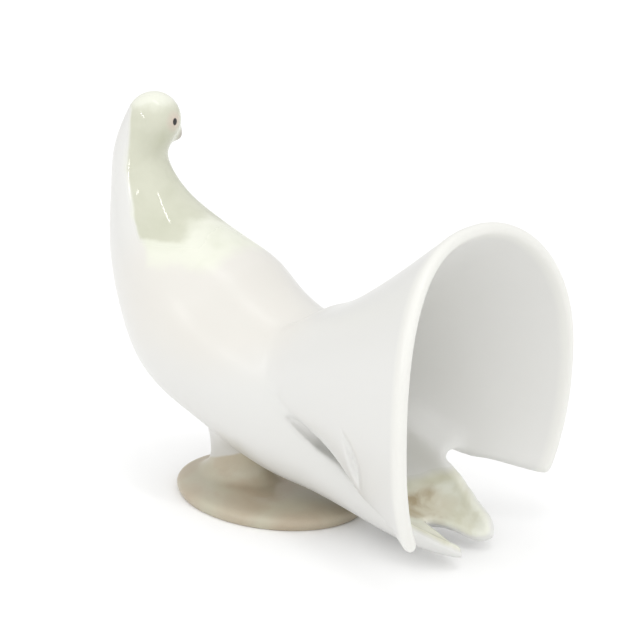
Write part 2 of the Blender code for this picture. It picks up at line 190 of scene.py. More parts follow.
def loft(name, rows, around=56, count=70, start_dome=0.0, end_dome=0.0, dome_steps=10):
    """Skin ellipses standing across a line through the rows."""
    rows = spline(rows, count=count)
    centre = rows[:, :3]
    ahead = np.gradient(centre, axis=0)
    ahead /= np.linalg.norm(ahead, axis=1)[:, None]
    side = np.array([1.0, 0.0, 0.0]) - ahead * ahead[:, :1]
    side /= np.linalg.norm(side, axis=1)[:, None]
    deep = np.cross(ahead, side)
    turn = np.linspace(0.0, 2.0 * math.pi, around, endpoint=False)

    def ring(i, grow, shift):
        wide = np.outer(np.cos(turn), side[i]) * rows[i, 3] * grow
        high = np.outer(np.sin(turn), deep[i]) * rows[i, 4] * grow
        return centre[i] + ahead[i] * shift + wide + high

    rings = []
    if start_dome:
        for step in range(dome_steps - 1, 0, -1):
            lean = 0.5 * math.pi * step / dome_steps
            rings.append(ring(0, math.cos(lean), -start_dome * math.sin(lean)))
    rings += [ring(i, 1.0, 0.0) for i in range(count)]
    if end_dome:
        for step in range(1, dome_steps):
            lean = 0.5 * math.pi * step / dome_steps
            rings.append(ring(count - 1, math.cos(lean), end_dome * math.sin(lean)))
    return tube(name, rings)


print("trunk rows", len(TRUNK))

# %% [markdown]
# The fan is the figure's big gesture. Its rim is a rounded arch, a
# superellipse that stands almost upright, cut off below at two corners.

# %% The fan's rim
RIM_HALF_WIDTH = 35.3
RIM_MIDDLE = 41.5
RIM_UP = 37.8
RIM_DOWN = 44.4
RIM_TOP = 59.6
RIM_SIDE = 66.0
RIM_SQUARE = 2.25
RIM_CORNER = 127.0

def signed_power(value, power):
    return np.sign(value) * np.abs(value) ** power


def rim_at(place):
    """Points of the fan's rim, from its top at 0 to its lower corner at 1."""
    turn = math.radians(RIM_CORNER) * np.abs(place)
    across = signed_power(np.sin(turn), 2.0 / RIM_SQUARE)
    upward = signed_power(np.cos(turn), 2.0 / RIM_SQUARE)
    high = RIM_MIDDLE + np.where(upward > 0.0, RIM_UP, RIM_DOWN) * upward
    back = RIM_TOP + (RIM_SIDE - RIM_TOP) * across ** 2
    back = np.where(upward > 0.0, back, RIM_SIDE - 3.2 * upward * upward)
    return np.stack([RIM_HALF_WIDTH * across, back, high], axis=-1)


print("rim top", rim_at(np.array([0.0]))[0].round(1))

# %% [markdown]
# From the flank to the lower corner of the fan runs one free edge, the lower
# edge of the wing. It starts tight against the body and swings outwards.

# %% The wing's lower edge
LOWER_EDGE = [
    (14.4, 19.0, 31.6),
    (15.2, 24.5, 29.8),
    (15.6, 28.7, 27.9),
    (16.2, 34.2, 24.8),
    (17.2, 39.6, 20.9),
    (18.3, 44.0, 17.7),
    (21.3, 50.8, 16.5),
    (25.8, 59.6, 14.6),
]

def edge_at(along):
    """Points of the free lower edge, from the flank at 0 to the corner at 1."""
    rows = np.vstack([LOWER_EDGE, rim_at(np.array([1.0]))])
    back = rows[:, 1]
    keys = (back - back[0]) / (back[-1] - back[0])
    return spline(rows, at=along, keys=keys)

# %% [markdown]
# Between its root on the back and its rim the fan flares like a trumpet. Five
# stations say where it leaves the body and in which directions it leaves and
# arrives, and a cubic between root and rim makes the flare. The lowest part is
# drawn onto the free edge, so that wing and fan are one sheet.

# %% The fan's surface
FAN = [
    (0.00, (0.0, 17.6, 52.2), (0.0, 34.0, 3.5), (0.0, 37.0, 31.0)),
    (0.25, (7.6, 13.2, 49.1), (2.0, 36.0, 2.0), (13.0, 38.0, 19.0)),
    (0.50, (13.0, 10.5, 43.0), (3.0, 40.0, -5.0), (22.0, 42.0, 5.0)),
    (0.75, (15.0, 13.5, 36.0), (0.0, 44.0, -18.0), (26.0, 42.0, 2.0)),
    (1.00, (14.6, 19.0, 31.6), (-4.0, 45.0, -30.0), (30.0, 38.0, 2.0)),
]

EDGE_PULL_FROM = 0.45
FAN_CENTRE = (0.0, 40.0, 34.0)


def flare(t, root, leave, arrive, rim):
    """A cubic from root to rim, with the ways it leaves and arrives."""
    start = (2 * t ** 3 - 3 * t * t + 1) * root + (t ** 3 - 2 * t * t + t) * leave
    return start + ((3 * t * t - 2 * t ** 3) * rim + (t ** 3 - t * t) * arrive)


def fan_at(place, along):
    """Points of the fan's middle surface: place around it, along from root to rim."""
    place, along = np.broadcast_arrays(np.asarray(place, float), np.asarray(along, float))
    shape = place.shape
    around = np.abs(place).ravel()
    t = along.ravel()[:, None]
    keys = [row[0] for row in FAN]
    both = [-key for key in keys[:0:-1]] + keys

    def through(column):
        rows = np.array([row[column] for row in FAN])
        mirrored = rows[:0:-1] * (-1.0, 1.0, 1.0)
        return spline(np.vstack([mirrored, rows]), at=around, keys=both)

    points = flare(t, through(1), through(2), through(3), rim_at(around))
    # Draw the lowest part onto the free edge
    end = flare(t, *np.array(FAN[-1][1:]), rim_at(np.array([1.0])))
    points += ease(around, EDGE_PULL_FROM, 1.0)[:, None] * (edge_at(t.ravel()) - end)
    points[:, 0] *= np.where(place.ravel() < 0.0, -1.0, 1.0)
    return points.reshape(shape + (3,))


def fan_outward(place, along, step=0.002):
    """Directions out of the fan's outer face."""
    place = np.asarray(place, float)
    along = np.asarray(along, float)
    around = fan_at(place + step, along) - fan_at(place - step, along)
    ahead = fan_at(place, np.minimum(along + step, 1.0))
    out = np.cross(ahead - fan_at(place, np.maximum(along - step, 0.0)), around)
    out /= np.maximum(np.linalg.norm(out, axis=-1, keepdims=True), 1e-9)
    from_middle = fan_at(place, along) - FAN_CENTRE
    return out * np.sign((out * from_middle).sum(axis=-1, keepdims=True))

# %% [markdown]
# The sheet gets its wall from a Solidify modifier. Its free edges are rounded
# by a bead: a curve with a bevel that follows the edge, as a wet finger does.

# %% The fan's wall and its rounded lip
def bake(made):
    """Turn an object's modifiers into its mesh."""
    depsgraph = bpy.context.evaluated_depsgraph_get()
    data = bpy.data.meshes.new_from_object(made.evaluated_get(depsgraph))
    made.modifiers.clear()
    made.data = data
    return made


def sheet(name, grid, wall):
    """Give a grid of points a wall thickness in metres."""
    rows, columns = grid.shape[:2]
    made = add_mesh(name, grid.reshape(-1, 3), grid_faces(rows, columns))
    thick = made.modifiers.new("wall", "SOLIDIFY")
    thick.thickness = wall
    thick.offset = 0.0
    thick.use_even_offset = True
    return bake(made)


def fan():
    """The fan's wall."""
    place = np.linspace(-1.0, 1.0, 97)[None, :]
    along = np.linspace(0.0, 1.0, 49)[:, None]
    return sheet("fan", fan_at(place, along), FAN_WALL)


def lip():
    """Round the fan's free edges."""
    along = np.linspace(0.06, 1.0, 60)
    side = edge_at(along)
    rim = rim_at(np.linspace(1.0, 0.0, 90))[1:]
    half = np.vstack([side, rim])
    line = np.vstack([half, (half * (-1.0, 1.0, 1.0))[-2::-1]])
    data = bpy.data.curves.new("lip", "CURVE")
    data.dimensions = "3D"
    data.bevel_depth = 0.5 * FAN_WALL
    data.bevel_resolution = 4
    data.use_fill_caps = True
    path = data.splines.new("POLY")
    path.points.add(len(line) - 1)
    for point, place in zip(path.points, line):
        x, y, z = (place - (0.0, 0.0, TABLE)) * SHARE
        point.co = (x, y, z, 1.0)
    bead = place_object("lip", data, "cutters")
    depsgraph = bpy.context.evaluated_depsgraph_get()
    mesh = bpy.data.meshes.new_from_object(bead.evaluated_get(depsgraph))
    bpy.data.objects.remove(bead)
    return place_object("lip", mesh, "cutters")

# %% [markdown]
# Clay fills the space between trunk and wings, so that they grow out of the
# flanks and aren't stuck on.

# %% The flanks
def flanks():
    """Fills the space between the trunk and the wings."""
    place = np.linspace(-1.0, 1.0, 61)
    rings = []
    for along in np.linspace(0.0, 0.60, 17):
        skin_line = fan_at(place, np.full_like(place, along))
        floor = np.linspace(skin_line[-1], skin_line[0], 21)[1:-1]
        rings.append(np.vstack([skin_line, floor]))
    return tube("flanks", rings)

# %% [markdown]
# The tail is hollow behind. Four tools carve it: the funnel inside the fan, a
# dish in the tail's floor, everything above the tail's two side walls, and an
# arch that thins the floor from below. The notch makes the two points.

# %% Tools for the hollow tail
FLOOR_SAG = 9.0
# Centre, half width and half depth of the dish, from its throat to its open end
DISH = [
    (0.0, 29.0, 24.6, 8.5, 8.6),
    (0.0, 36.0, 19.2, 10.6, 11.8),
    (0.0, 44.0, 15.2, 11.6, 9.2),
    (0.0, 50.0, 12.4, 12.0, 7.2),
    (0.0, 56.0, 10.0, 10.7, 5.8),
    (0.0, 60.5, 8.4, 9.0, 5.5),
    (0.0, 65.2, 7.2, 6.6, 4.9),
    (0.0, 70.0, 6.2, 5.0, 4.4),
]


def funnel():
    """The hollow inside the fan."""
    place = np.linspace(-0.95, 0.95, 81)

    def ring(along):
        where = np.full_like(place, along)
        skin = fan_at(place, where) - fan_outward(place, where) * (0.5 * FAN_WALL / SHARE - 0.15)
        across = np.linspace(0.0, 1.0, 21)[1:-1, None]
        floor = skin[-1] + (skin[0] - skin[-1]) * across
        sag = FLOOR_SAG * np.clip((0.8 - along) / 0.35, 0.0, 1.0)
        floor[:, 2:] -= sag * np.sin(math.pi * across) ** 1.5
        return np.vstack([skin, floor])

    first = ring(0.30)
    middle = first.mean(axis=0)
    deep = middle + (0.0, -9.0, -1.5)
    rings = []
    for k in np.linspace(0.06, 1.0, 8):
        rings.append(middle * k + deep * (1.0 - k) + (first - middle) * math.sin(0.5 * math.pi * k))
    for along in np.linspace(0.30, 1.0, 24)[1:]:
        rings.append(ring(along))
    rings.append(rings[-1] + (0.0, 6.0, 0.0))
    return tube("funnel", rings)


def dish():
    """The hollow between the two points of the tail."""
    return loft("dish", DISH, start_dome=6.0, count=40)


def crest():
    """Everything above the gunwales of the tail's lower end."""
    rows = [
        (45.8, 13.0, 18.6),
        (46.4, 12.6, 17.6),
        (47.4, 12.0, 16.2),
        (49.0, 11.0, 14.4),
        (50.8, 10.1, 12.5),
        (52.8, 9.0, 10.5),
        (55.5, 8.0, 8.2),
        (57.8, 7.1, 7.1),
        (60.0, 6.2, 6.2),
        (62.0, 5.1, 5.1),
        (64.2, 2.8, 2.8),
        (66.5, -5.0, -5.0),
        (75.0, -5.0, -5.0),
    ]
    rings = []
    for y, inner, outer in rows:
        slope = outer - inner
        half = [(10.8, inner), (14.6, outer), (40.0, outer + 6.5 * slope), (40.0, 90.0)]
        line = half + [(-x, z) for x, z in half[::-1]]
        rings.append([(x, y, z) for x, z in line])
    return tube("crest", rings)


def arch():
    """Thins the floor from below on both sides of the notch."""
    rows = [
        (0.0, 44.0, -2.0, 1.6, 1.4),
        (0.0, 50.0, -0.8, 5.6, 4.4),
        (0.0, 56.0, -1.2, 6.4, 4.1),
        (0.0, 62.0, -1.5, 6.8, 3.3),
        (0.0, 70.0, -1.8, 7.4, 3.0),
    ]
    return loft("arch", rows, around=32, count=24)


def notch():
    """The gap between the tail's two points: an outline pushed through a height."""
    right = [
        (0.0, 48.8), (1.3, 49.8), (2.1, 53.1), (2.8, 56.0), (3.4, 58.5), (4.2, 60.8),
        (5.4, 62.9), (7.0, 64.9), (9.0, 66.8), (9.0, 75.0),
    ]
    outline = right + [(-x, y) for x, y in right[:0:-1]]
    count = len(outline)
    points = [(x, y, z) for z in (-10.0, 30.0) for x, y in outline]
    faces = [tuple(range(count))[::-1], tuple(range(count, 2 * count))]
    for i in range(count):
        j = (i + 1) % count
        faces.append((i, j, count + j, count + i))
    return add_mesh("notch", points, faces)

# %% [markdown]
# Two cuts mark the wing: a deep slot under its lower edge, and a fold behind
# its tip that is sharp in front and fades to the rear.

# %% Tools for the slot and the fold
SLOT = [
    (16.2, 18.5, 30.0, 0.5, 0.5),
    (15.0, 23.0, 27.2, 1.5, 1.5),
    (13.6, 28.0, 24.7, 2.4, 2.4),
    (13.5, 33.5, 21.8, 2.4, 2.4),
    (14.5, 38.0, 18.4, 1.9, 1.9),
    (15.9, 41.6, 16.1, 0.9, 0.9),
]


def solid_between(name, top, bottom):
    """Close the space between two grids of the same size."""
    rows, columns = top.shape[:2]
    count = rows * columns
    points = np.vstack([top.reshape(-1, 3), bottom.reshape(-1, 3)])
    faces = grid_faces(rows, columns) + grid_faces(rows, columns, start=count)
    border = list(range(columns))
    border += [i * columns + columns - 1 for i in range(1, rows)]
    border += [(rows - 1) * columns + j for j in range(columns - 2, -1, -1)]
    border += [i * columns for i in range(rows - 2, 0, -1)]
    for a, b in zip(border, border[1:] + border[:1]):
        faces.append((a, b, count + b, count + a))
    return add_mesh(name, points, faces)


def slot(side):
    """The dark gap under the wing's lower edge."""
    rows = [(side * x, y, z, a, b) for x, y, z, a, b in SLOT]
    return loft("slot", rows, around=20, count=30)


def fold(side):
    """The hollow behind the wing tip: sharp in front, fading to the rear."""
    down = np.linspace(0.0, 1.0, 25)[:, None]
    rear = np.linspace(0.0, 1.0, 15)[None, :]
    place = 0.74 + 0.215 * down + 0.0 * rear
    swell = np.sin(math.pi * (0.04 + 0.94 * down)) ** 0.7
    along = 0.545 + 0.045 * down + rear * 0.18 * swell * (1.0 - 0.35 * down)
    out = fan_outward(place, along)
    skin = fan_at(place, along) + out * (0.5 * FAN_WALL / SHARE)
    depth = 1.9 * swell * (1.0 - rear) ** 1.5 - 0.35
    made_top = skin + out * 1.2
    made_bottom = skin - out * depth[..., None]
    flip = (side, 1.0, 1.0)
    return solid_between("fold", made_top * flip, made_bottom * flip)

# %% [markdown]
# Foot and stem are level ovals stacked on each other. The foot's edge is
# rounded, and the stem flares into both the foot and the belly.

# %% Foot and stem
def oval_tube(name, rows, middle, around=72):
    """Skin level ovals: half width, half length, shift along, height."""
    turn = np.linspace(0.0, 2.0 * math.pi, around, endpoint=False)
    rings = []
    for wide, long, shift, high in rows:
        flat = np.full_like(turn, high)
        along = middle + shift + long * np.sin(turn)
        rings.append(np.stack([wide * np.cos(turn), along, flat], axis=-1))
    return tube(name, rings)


def base():
    """The oval foot, rounded at its edge."""
    wide = 0.5 * BASE_WIDTH / SHARE
    long = 0.5 * BASE_LENGTH / SHARE
    high = BASE_THICKNESS / SHARE
    profile = [
        (0.95, -0.6), (0.965, 0.05), (0.99, 0.2), (1.0, 0.42),
        (0.985, 0.64), (0.95, 0.8), (0.86, 0.9), (0.5, 1.0),
    ]
    rows = [(wide * grow, long * grow, 0.0, TABLE + high * rise) for grow, rise in profile]
    return oval_tube("base", rows, 0.0)


def stem():
    """The stem, flared into the foot and into the belly."""
    wide = 0.5 * STEM_WIDTH / SHARE
    long = 0.5 * STEM_LENGTH / SHARE
    foot = TABLE + BASE_THICKNESS / SHARE
    rows = [
        (wide * 1.9, long * 1.6, 0.0, foot - 1.2),
        (wide * 1.35, long * 1.25, 0.0, foot + 0.4),
        (wide * 1.1, long * 1.07, 0.0, foot + 2.0),
        (wide, long, 0.0, foot + 4.5),
        (wide * 1.03, long * 1.02, 0.0, foot + 8.5),
        (wide * 1.3, long * 1.15, 0.5, 17.0),
        (wide * 1.8, long * 1.5, 2.0, 24.0),
    ]
    return oval_tube("stem", rows, -9.8)

# %% [markdown]
# The small beak is a cone pressed out of the round head, turned well back over
# the bird's right shoulder.

# %% The beak
BEAK_REACH = 7.9
BEAK_DROP = 5.7
BEAK_TURN = 107.0

def beak():
    """Face and beak, turned to the bird's right."""
    head = np.array(TRUNK[-1][:3])
    turn = math.radians(BEAK_TURN)
    facing = np.array([-math.sin(turn), -math.cos(turn), 0.0])
    tip = head + facing * BEAK_REACH + (0.0, 0.0, -BEAK_DROP)
    way = tip - head
    length = np.linalg.norm(way)
    way /= length
    side = np.cross(way, (0.0, 0.0, 1.0))
    side /= np.linalg.norm(side)
    upward = np.cross(side, way)
    around = np.linspace(0.0, 2.0 * math.pi, 32, endpoint=False)
    rings = []
    profile = [(0.0, 6.6), (0.3, 6.1), (0.55, 4.8), (0.75, 3.0), (0.9, 1.8), (0.97, 1.2), (1.0, 0.6)]
    for reach, size in profile:
        ring = head + way * length * reach + np.outer(np.cos(around), side) * size * 0.9
        rings.append(ring + np.outer(np.sin(around), upward) * size)
    return tube("beak", rings)

# %% [markdown]
# Joined meshes still cross each other. A voxel remesh runs one closed skin over
# them, as casting slip does, and a few rounds of smoothing act as the damp
# sponge at the seams. The cuts are exact booleans, made before the last
# sponging so that their edges look glazed over.

# %% Join, cut and sponge
def join(name, parts):
    """Put the parts' meshes into one object."""
    shape = bmesh.new()
    for part in parts:
        shape.from_mesh(part.data)
    data = bpy.data.meshes.new(name)
    shape.to_mesh(data)
    shape.free()
    for part in parts:
        bpy.data.objects.remove(part)
    return place_object(name, data, "cutters")


def cut(made, tool):
    """Take a tool's volume away and drop the tool."""
    change = made.modifiers.new("cut", "BOOLEAN")
    change.operation = "DIFFERENCE"
    change.object = tool
    change.solver = "EXACT"
    bake(made)
    bpy.data.objects.remove(tool)


def skin(made, step, rounds):
    """Run one skin over all the parts and soften their joints."""
    cover = made.modifiers.new("skin", "REMESH")
    cover.mode = "VOXEL"
    cover.voxel_size = step
    if rounds:
        soften = made.modifiers.new("soften", "SMOOTH")
        soften.factor = 0.5
        soften.iterations = rounds
    return bake(made)

# %% [markdown]
# Now the figure is put together in the same order as the solid, on a finer
# grain.

# %% Build the dove
def dove_in_clay(step, rounds):
    """The whole figure as one fine skin."""
    body = loft("trunk", TRUNK, start_dome=TRUNK_END, end_dome=HEAD_DOME)
    body = skin(join("body", [body, flanks()]), step, 0)
    hollow = skin(join("hollow", [funnel(), dish()]), step, 1)
    for tool in (crest(), arch(), notch(), hollow):
        cut(body, tool)
    made = skin(join("whole", [body, fan(), lip(), beak(), base(), stem()]), step, 0)
    for side in (1.0, -1.0):
        cut(made, slot(side))
        cut(made, fold(side))
    return skin(made, step, rounds)


clay = dove_in_clay(CLAY_GRAIN, SPONGE_ROUNDS)
print("clay faces", len(clay.data.polygons))

# %% [markdown]
# Later steps act on parts of the finished skin. They find their place by the
# vertices' positions, read back in the form's own hundredths, and by how far a
# vertex lies from a drawn line.

# %% Read vertices in hundredths of the height
def form_points(made):
    """An object's vertices in hundredths of the figure's height."""
    places = np.empty(len(made.data.vertices) * 3)
    made.data.vertices.foreach_get("co", places)
    return places.reshape(-1, 3) / SHARE + (0.0, 0.0, TABLE)


def nearest_gap(points, line):
    """Distance of each point from a line of points."""
    gap = np.full(len(points), np.inf)
    for place in line:
        gap = np.minimum(gap, ((points - place) ** 2).sum(axis=1))
    return np.sqrt(gap)

# %% [markdown]
# Where the fan leaves the back there is no edge on the real bird, only a change
# of direction, and the shelf beside the scoop melts away in the same manner. A
# second sponging works on those places alone: a vertex group holds them, and
# the Smooth modifier stays inside the group.

# %% Sponge the fan's root into the back
ROOT_REACH = 9.0
ROOT_ROUNDS = 180
SHELF_LINE = [
    (10.6, 35.4, 22.6),
    (11.3, 37.4, 21.9),
    (12.3, 40.0, 20.9),
    (13.2, 42.8, 19.8),
    (14.6, 44.8, 19.2),
]
SHELF_REACH = 8.0
SHELF_ROUNDS = 240


def melt_along(made, line, reach, rounds, share):
    """Sponge an edge away along a line; share says how much each point takes part."""
    points = form_points(made)
    weight = (1.0 - ease(nearest_gap(points, line), 0.35 * reach, reach)) * share(points)
    group = made.vertex_groups.new(name="melting")
    for level in range(1, 11):
        chosen = np.flatnonzero(np.round(weight * 10.0) == level)
        group.add([int(i) for i in chosen], level / 10.0, "REPLACE")
    melt = made.modifiers.new("melt", "SMOOTH")
    melt.factor = 0.5
    melt.iterations = rounds
    melt.vertex_group = "melting"
    bake(made)
    made.vertex_groups.clear()
    return int((weight > 0.05).sum())


def above_tail(points):
    """The back, and not the tail below it."""
    return ease(points[:, 2], 30.0, 40.0)


def faces_inward(points):
    """The hollow's own surface, not the slot behind it."""
    normals = np.empty(len(points) * 3, dtype=np.float32)
    clay.data.vertices.foreach_get("normal", normals)
    outward = normals.reshape(-1, 3)[:, 0] * np.sign(points[:, 0])
    return (outward < 0.15).astype(float)


around = np.linspace(-0.62, 0.62, 33)
root_line = fan_at(around, np.full_like(around, 0.02))
print("root, vertices", melt_along(clay, root_line, ROOT_REACH, ROOT_ROUNDS, above_tail))
for side in (-1.0, 1.0):
    shelf_line = spline(SHELF_LINE, count=40) * (side, 1.0, 1.0)
    melted = melt_along(clay, shelf_line, SHELF_REACH, SHELF_ROUNDS, faces_inward)
    print("shelf, vertices", melted)

# %% [markdown]
# The foot is ground flat after firing, so the underside is one plane at the
# table. The skin is then thinned: a Decimate modifier keeps the curvature and
# drops what flat places don't need.

# %% Stand flat and thin the skin
def thin(made, triangles):
    """Bring a skin down to a number of triangles."""
    now = sum(len(face.vertices) - 2 for face in made.data.polygons)
    fewer = made.modifiers.new("fewer", "DECIMATE")
    fewer.ratio = min(1.0, triangles / now)
    return bake(made)


def stand_flat(made):
    """Cut the underside off level with the table."""
    shape = bmesh.new()
    shape.from_mesh(made.data)
    everything = shape.verts[:] + shape.edges[:] + shape.faces[:]
    down = (0.0, 0.0, -1.0)
    sliced = bmesh.ops.bisect_plane(
        shape, geom=everything, dist=1e-7, plane_co=(0.0, 0.0, 0.0), plane_no=down, clear_outer=True
    )
    rim = [item for item in sliced["geom_cut"] if isinstance(item, bmesh.types.BMEdge)]
    bmesh.ops.holes_fill(shape, edges=rim, sides=0)
    bmesh.ops.recalc_face_normals(shape, faces=shape.faces)
    shape.to_mesh(made.data)
    shape.free()
    return made


thin(clay, KEPT_TRIANGLES)
stand_flat(clay)
figurine_mesh = clay.data
bpy.data.objects.remove(clay)
figurine = bpy.data.objects.new("dove_porcelain", figurine_mesh)
bpy.context.scene.collection.objects.link(figurine)
figurine_mesh.shade_smooth()
print("triangles", sum(len(face.vertices) - 2 for face in figurine_mesh.polygons))

# %% [markdown]
# Underglaze colour follows the form: celadon on the crown, the nape and the
# upper back, brown in the hollow of the tail and on the foot. Painted shade in
# the slot and a painted highlight along the fan's lip are placed the same way.
# Each place is stored on the mesh as a depth: how far inside the coloured area a
# point lies, in hundredths of the height. The material later turns a depth into
# a ragged edge. This keeps the colour on the form, where an image would need a map.

# %% Where each colour lies
# Height and the y where the celadon column starts, going up the neck
COLUMN_EDGE = [
    (60.0, -26.0), (65.0, -31.5), (70.0, -36.2), (76.0, -39.3),
    (81.0, -41.9), (91.0, -42.0), (96.0, -42.6), (98.5, -52.0),
]
# Height and the width at which its deep colour has faded
COLUMN_WIDTH = [(64.0, 11.0), (70.0, 13.0), (76.0, 17.0), (84.0, 24.0), (90.0, 40.0)]
COLUMN_FOOT = 65.2
COLUMN_TOP = 96.8
WASH_FOOT = 60.6
WASH_BACK = -9.5
WARM_MIDDLE = (8.0, -10.0, 54.0)
WARM_SPREAD = (20.0, 28.0, 20.0)
SCOOP_START = (38.6, 10.4)
SCOOP_RISE = 0.36
BROWN_MIDDLE = (-3.5, 45.5, 6.5)
BROWN_RADIUS = 6.5
FOOT_TOP = 2.75
STEM_TINT = (-14.7, 7.0, 0.4)


def column_depth(points):
    """The deep celadon on crown and neck."""
    height = points[:, 2]
    behind = points[:, 1] - np.interp(height, *zip(*COLUMN_EDGE))
    fading = (np.interp(height, *zip(*COLUMN_WIDTH)) - behind) * 0.3
    ends = np.minimum(height - COLUMN_FOOT, (COLUMN_TOP - height) * 0.4)
    return np.minimum(np.minimum(behind, fading), ends)


def wash_depth(points):
    """The thin celadon that runs on over the upper back."""
    start = np.interp(points[:, 2], *zip(*COLUMN_EDGE))
    above = (points[:, 2] - WASH_FOOT) * 0.9
    return np.minimum(np.minimum(points[:, 1] - start, above), (WASH_BACK - points[:, 1]) * 0.7)


def warm_depth(points):
    """The creamier shoulder and flank."""
    return 12.0 * (1.0 - np.linalg.norm((points - WARM_MIDDLE) / WARM_SPREAD, axis=1))


def scoop_depth(points):
    """The hollow floor between the tail's points."""
    rows = np.array(DISH[1:])
    middle, wide, deep = (np.interp(points[:, 1], rows[:, 1], rows[:, k]) for k in (2, 3, 4))
    reach = np.hypot(points[:, 0] / wide, (points[:, 2] - middle) / deep)
    top = SCOOP_START[1] + (points[:, 1] - SCOOP_START[0]) * SCOOP_RISE
    return np.minimum((1.16 - reach) * 12.0, top - points[:, 2])


def brown_depth(points):
    """The brown pool at the start of the notch."""
    return BROWN_RADIUS - np.linalg.norm(points - BROWN_MIDDLE, axis=1)


def foot_depth(points):
    """The oval foot and the slanting start of the stem."""
    on_foot = FOOT_TOP - points[:, 2] - 20.0 * (points[:, 1] > 28.5)
    middle, height, slope = STEM_TINT
    top = height + slope * (points[:, 1] - middle)
    stem_gap = np.hypot(points[:, 0] / 1.5, (points[:, 1] + 9.8) / 2.0)
    return np.maximum(on_foot, np.minimum(top - points[:, 2], (10.0 - stem_gap) * 2.0))


def on_left(points):
    """The right side's points mirrored onto the left."""
    return np.column_stack([np.abs(points[:, 0]), points[:, 1:]])


def rim_highlight_depth(points):
    """Nearness to the fan's free edge, where a lighter white is painted as the lip's highlight."""
    return 2.2 - nearest_gap(on_left(points), rim_at(np.linspace(0.0, 1.0, 91)))


def slot_shade_depth(points):
    """Nearness to the deepest line of the slot, where its shade is painted grey."""
    deepest = [row[:3] for row in SLOT[2:]]
    return 2.9 - nearest_gap(on_left(points), spline(deepest, count=60))


def store(made, name, values):
    """Keep one number per vertex under a name."""
    layer = made.data.attributes.new(name, "FLOAT", "POINT")
    layer.data.foreach_set("value", np.asarray(values, dtype=np.float32))
    print(name, "covers", int((values > 0.0).sum()), "vertices")


places = form_points(figurine)
for depth in (
    column_depth, wash_depth, warm_depth, scoop_depth, brown_depth, foot_depth, rim_highlight_depth, slot_shade_depth,
):
    store(figurine, depth.__name__, depth(places))

# %% [markdown]
# A material is a small network. These helpers place a node and join sockets in
# one line each, so that the recipes below read as recipes.

# %% Helpers for node networks
def feed(tree, socket, value):
    """Give an input a constant, or link another socket to it."""
    if isinstance(value, bpy.types.NodeSocket):
        tree.links.new(value, socket)
    else:
        socket.default_value = value


def put(tree, kind, **settings):
    """Add a node and set its properties and inputs."""
    node = tree.nodes.new(kind)
    for name, value in settings.items():
        if hasattr(node, name):
            setattr(node, name, value)
        else:
            feed(tree, node.inputs[name.replace("_", " ")], value)
    return node


def new_group(name, inputs, outputs):
    """Start a node group with named sockets."""
    group = bpy.data.node_groups.new(name, "ShaderNodeTree")
    for label, kind, start in inputs:
        socket = group.interface.new_socket(label, in_out="INPUT", socket_type="NodeSocket" + kind)
        if start is not None:
            socket.default_value = start
    for label, kind in outputs:
        group.interface.new_socket(label, in_out="OUTPUT", socket_type="NodeSocket" + kind)
    inlet = group.nodes.new("NodeGroupInput")
    return group, inlet.outputs, group.nodes.new("NodeGroupOutput").inputs


def math_node(tree, action, *values, clamp=False):
    """One sum; each value is a number or a socket."""
    node = put(tree, "ShaderNodeMath", operation=action, use_clamp=clamp)
    for socket, value in zip(node.inputs, values):
        feed(tree, socket, value)
    return node.outputs[0]


def vector_node(tree, action, *values):
    """One sum of vectors."""
    node = put(tree, "ShaderNodeVectorMath", operation=action)
    sockets = [socket for socket in node.inputs if socket.enabled]
    for socket, value in zip(sockets, values):
        feed(tree, socket, value)
    return [socket for socket in node.outputs if socket.enabled][0]


def mix_colour(tree, share, first, second):
    """Blend two colours; share, and either colour, may be a socket."""
    node = put(tree, "ShaderNodeMix", data_type="RGBA")
    sockets = [socket for socket in node.inputs if socket.enabled]
    for socket, value in zip(sockets, (share, first, second)):
        feed(tree, socket, value)
    return [socket for socket in node.outputs if socket.enabled][0]

# %% [markdown]
# Brushed-on underglaze has no clean border: it wanders, and it thins where the
# brush lifts. The first group turns a depth into such an edge. A noise moves
# the border to and fro, and a soft step makes the colour fade over it.

# %% Group: ragged edge of a brushed colour
def ragged_edge():
    group, given, result = new_group(
        "ragged_edge",
        [
            ("Depth", "Float", 0.0),
            ("Position", "Vector", None),
            ("Wander", "Float", 2.0),
            ("Softness", "Float", 3.0),
            ("Brush Scale", "Float", 90.0),
        ],
        [("Mask", "Float")],
    )
    noise = put(
        group, "ShaderNodeTexNoise", Vector=given["Position"], Scale=given["Brush Scale"],
        Detail=4.0, Roughness=0.55,
    )
    swing = math_node(group, "SUBTRACT", noise.outputs[0], 0.5)
    swing = math_node(group, "MULTIPLY", swing, given["Wander"])
    swing = math_node(group, "MULTIPLY", swing, 2.0)
    moved = math_node(group, "ADD", given["Depth"], swing)
    share = math_node(group, "DIVIDE", moved, given["Softness"])
    share = math_node(group, "ADD", share, 0.5, clamp=True)
    step = math_node(group, "MULTIPLY", share, share)
    rise = math_node(group, "MULTIPLY_ADD", share, -2.0, 3.0)
    feed(group, result["Mask"], math_node(group, "MULTIPLY", step, rise))
    return group


RAGGED_EDGE = ragged_edge()
print("group", RAGGED_EDGE.name)

# %% [markdown]
# Stain settles unevenly in the wet glaze. The second group mixes three shades
# of one stain by two noises, a broad one for the clouds and a fine one for the
# grain that shows under a loupe.

